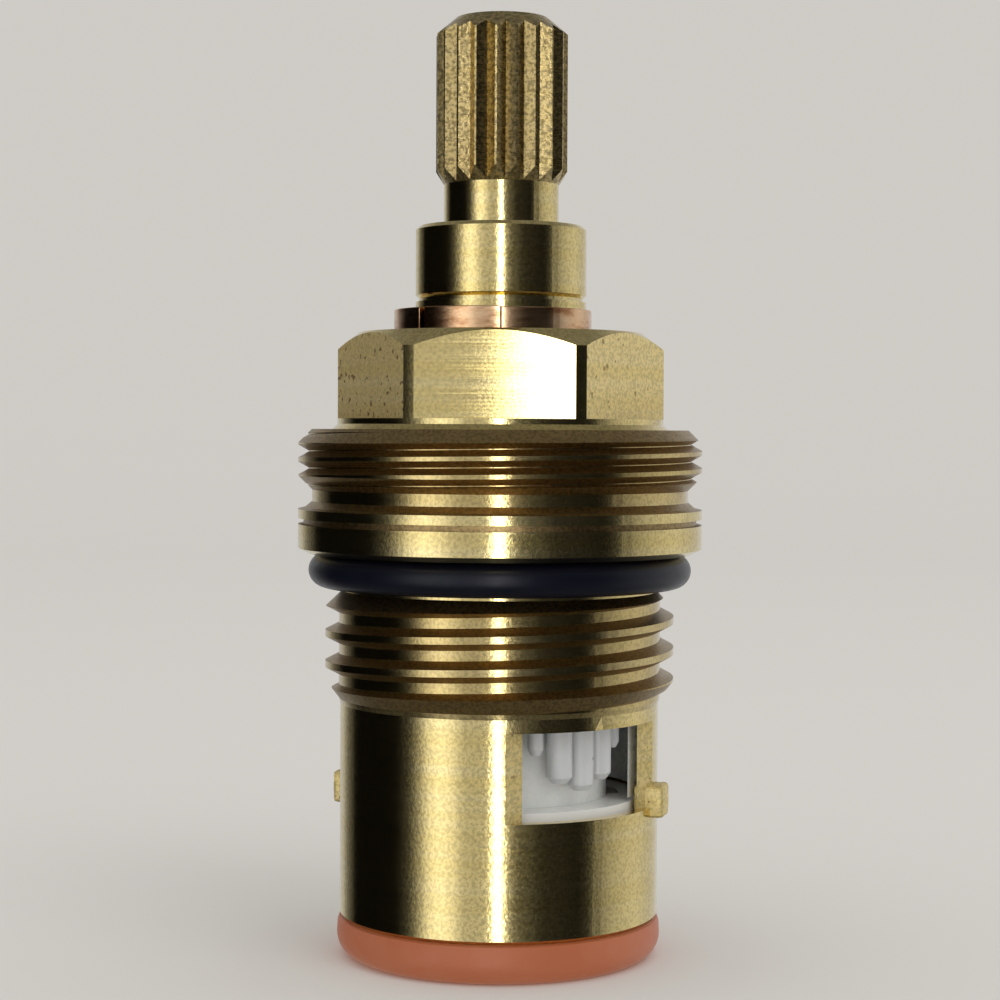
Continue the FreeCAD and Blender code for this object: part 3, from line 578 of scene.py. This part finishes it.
def makeWorld():
    world = bpy.data.worlds.new("studioLight")
    bpy.context.scene.world = world
    world.use_nodes = True
    world.cycles.sampling_method = "NONE"  # so that metal mirrors the bands below and nothing else
    tree = world.node_tree
    tree.nodes.clear()
    mapping = addNode(tree, "Mapping")
    cameraTurn = photo["turn"] - pi / 2
    mapping.inputs["Rotation"].default_value = (0, 0, -cameraTurn)
    tree.links.new(addNode(tree, "TexCoord").outputs["Generated"], mapping.inputs["Vector"])
    around = addNode(tree, "TexGradient", gradient_type="RADIAL")
    tree.links.new(mapping.outputs["Vector"], around.inputs["Vector"])
    brightest = max(level for _, level in mirrorBands)
    stops = [(angle / 360 + 0.5, level / brightest) for angle, level in mirrorBands]
    bands = ramp(tree, around.outputs["Fac"], stops)
    for name, sign in (("start", 1), ("end", -1)):
        edge = addNode(tree, "MapRange", interpolation_type="SMOOTHSTEP")
        for socket, side in (("From Min", -sign), ("From Max", sign)):
            feed(tree, edge.inputs[socket], (flash[name] + side * flash["edge"]) / 360 + 0.5)
        feed(tree, edge.inputs["Value"], around.outputs["Fac"])
        result = edge.outputs["Result"]
        edges = result if name == "start" else maths(tree, "MULTIPLY", edges, result)
    beam = maths(tree, "MULTIPLY", edges, flash["level"] / brightest)
    bands = mixColour(tree, 1.0, bands, beam, "ADD")

    parts = addNode(tree, "SeparateXYZ")
    tree.links.new(mapping.outputs["Vector"], parts.inputs["Vector"])
    level = studio["overhead"] / brightest
    overhead = ramp(tree, parts.outputs["Z"], [(0.30, 0.0), (0.75, 1.0)])
    mirrored = mixColour(tree, overhead, bands, (level, level, level * 0.95))
    underneath = ramp(tree, maths(tree, "MULTIPLY", parts.outputs["Z"], -1.0), [(0.30, 0.0), (0.75, 1.0)])
    level = studio["underneath"] / brightest
    mirrored = mixColour(tree, underneath, mirrored, (level, level, level * 0.9))

    paths = addNode(tree, "LightPath")
    glossy = addNode(tree, "Background")
    feed(tree, glossy.inputs["Color"], mirrored)
    feed(tree, glossy.inputs["Strength"], brightest)
    soft = addNode(tree, "Background")
    feed(tree, soft.inputs["Color"], (1.0, 0.985, 0.96))
    feed(tree, soft.inputs["Strength"], studio["diffuseLevel"])
    either = addNode(tree, "MixShader")
    feed(tree, either.inputs[0], paths.outputs["Is Glossy Ray"])
    tree.links.new(soft.outputs[0], either.inputs[1])
    tree.links.new(glossy.outputs[0], either.inputs[2])
    tree.links.new(either.outputs[0], addNode(tree, "OutputWorld").inputs["Surface"])


def makeKeyLight():
    light = bpy.data.lights.new("keyLight", "AREA")
    light.shape = "SQUARE"
    light.size = studio["keySize"]
    light.energy = studio["keyPower"]
    lamp = bpy.data.objects.new("keyLight", light)
    x, y, z = studio["keyPlace"]
    lamp.location = towardsRight * x - towardsCamera * y + Vector((0, 0, z))
    away = lamp.location - Vector((0, 0, studio["keyTarget"]))
    lamp.rotation_euler = away.to_track_quat("Z", "Y").to_euler()
    lamp.visible_glossy = False
    bpy.context.scene.collection.objects.link(lamp)


def makeCamera():
    camera = bpy.data.cameras.new("photoCamera")
    camera.lens = photo["lens"]
    camera.sensor_width = 36
    camera.clip_start = 0.005
    holder = bpy.data.objects.new("photoCamera", camera)
    spin = Matrix.Rotation(photo["turn"], 4, "Z")
    look = Matrix.Rotation(pi / 2 - photo["tilt"], 4, "X") @ Matrix.Rotation(photo["roll"], 4, "Z")
    place = towardsCamera * photo["distance"] + Vector((0, 0, photo["height"]))
    holder.matrix_world = Matrix.Translation(place) @ spin @ look
    bpy.context.scene.collection.objects.link(holder)
    bpy.context.scene.camera = holder


makeStage()
makeWorld()
makeKeyLight()
makeCamera()
bpy.context.scene.view_settings.view_transform = "Standard"
print("stage, light and camera placed")
